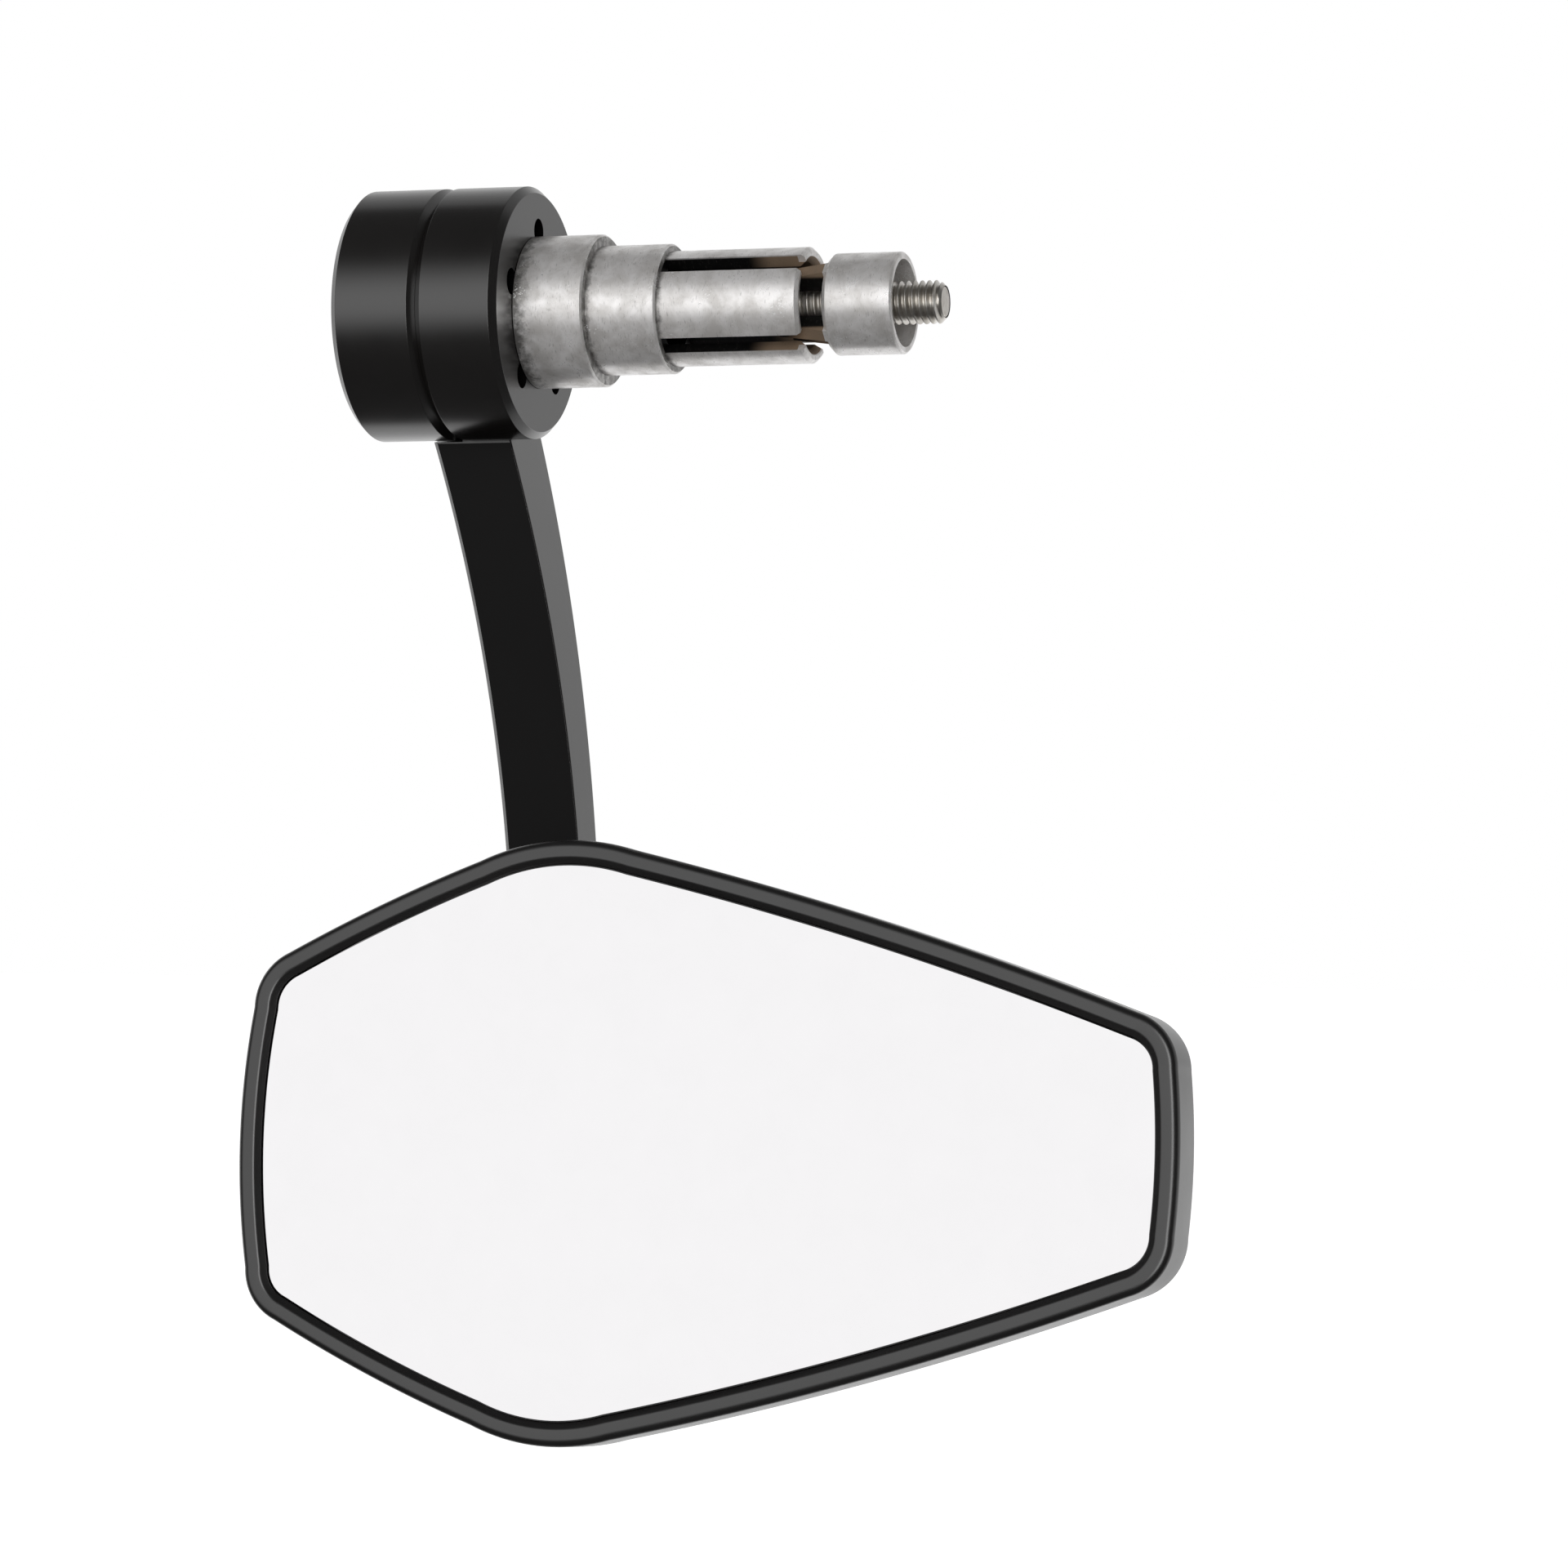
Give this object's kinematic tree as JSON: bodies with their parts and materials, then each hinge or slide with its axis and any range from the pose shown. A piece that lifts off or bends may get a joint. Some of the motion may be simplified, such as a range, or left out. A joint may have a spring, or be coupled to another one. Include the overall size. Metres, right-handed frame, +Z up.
{
  "type": "handlebar end mirror",
  "caption": "Handlebar end mirror with a stepped expanding insert, a tapered curved arm and a convex kite-shaped mirror head on a clamped ball joint.",
  "frame": {"origin": "on the handlebar bore axis at the arm eye's bar-side face, where the insert's collar meets it", "axes": "+X along the insert's axis into the handlebar, +Y away from the mirror face, +Z up"},
  "size_m": [0.1323, 0.049, 0.1728],
  "materials": {
    "insert_metal": "dull cast and turned",
    "black_metal": "black satin anodised",
    "housing_metal": "black satin painted",
    "screw_steel": "plain zinc",
    "washer_steel": "plain zinc",
    "black_screws": "black oxide",
    "white_plastic": "moulded",
    "black_plastic": "moulded",
    "pad_foam": "closed cell foam tape",
    "mirror_face": "convex silvered glass"
  },
  "bodies": {
    "bar_insert": {"insert": "insert_metal"},
    "screw": {"clamp_screw": "screw_steel", "clamp_washer": "washer_steel"},
    "nut": {"expander_nut": "insert_metal"},
    "arm_assembly": {"arm": "black_metal", "end_cap": "black_metal", "cap_screws": "black_screws", "ball_stud": "screw_steel", "stud_washer": "washer_steel", "stud_nut": "washer_steel"},
    "liner": {"ball_liner": "white_plastic"},
    "cup": {"ball_cup": "white_plastic", "spring_washer": "screw_steel"},
    "head": {"housing": "housing_metal", "clamp_plate": "washer_steel", "clamp_plate_screws": "black_screws", "carrier": "black_plastic", "carrier_screws": "black_screws", "adhesive_pad": "pad_foam", "mirror_glass": "mirror_face"}
  },
  "joints": [
    {"name": "arm_swing", "type": "hinge", "parent": "bar_insert", "child": "arm_assembly", "pos_m": [0, 0, 0], "axis": [1, 0, 0], "range_deg": [-180, 180]},
    {"name": "screw_turn", "type": "hinge", "parent": "bar_insert", "child": "screw", "pos_m": [0, 0, 0], "axis": [1, 0, 0], "range_deg": [-721, 901]},
    {"name": "nut_travel", "type": "slide", "parent": "bar_insert", "child": "nut", "axis": [-1, 0, 0], "range_m": [-0.002, 0.0025]},
    {"name": "head_pan", "type": "hinge", "parent": "arm_assembly", "child": "liner", "pos_m": [0.00068, -0.013, -0.112], "axis": [0, 0, 1], "range_deg": [-14, 14]},
    {"name": "head_tilt", "type": "hinge", "parent": "liner", "child": "cup", "pos_m": [0.00068, -0.013, -0.112], "axis": [1, 0, 0], "range_deg": [-12, 14]},
    {"name": "head_spin", "type": "hinge", "parent": "cup", "child": "head", "pos_m": [0.00068, -0.013, -0.112], "axis": [0, -0.9945, 0.1045], "range_deg": [-25, 25]}
  ],
  "couplings": [
    {"joint": "screw_turn", "follows": "nut_travel", "rad_per_m": 6283.2}
  ]
}
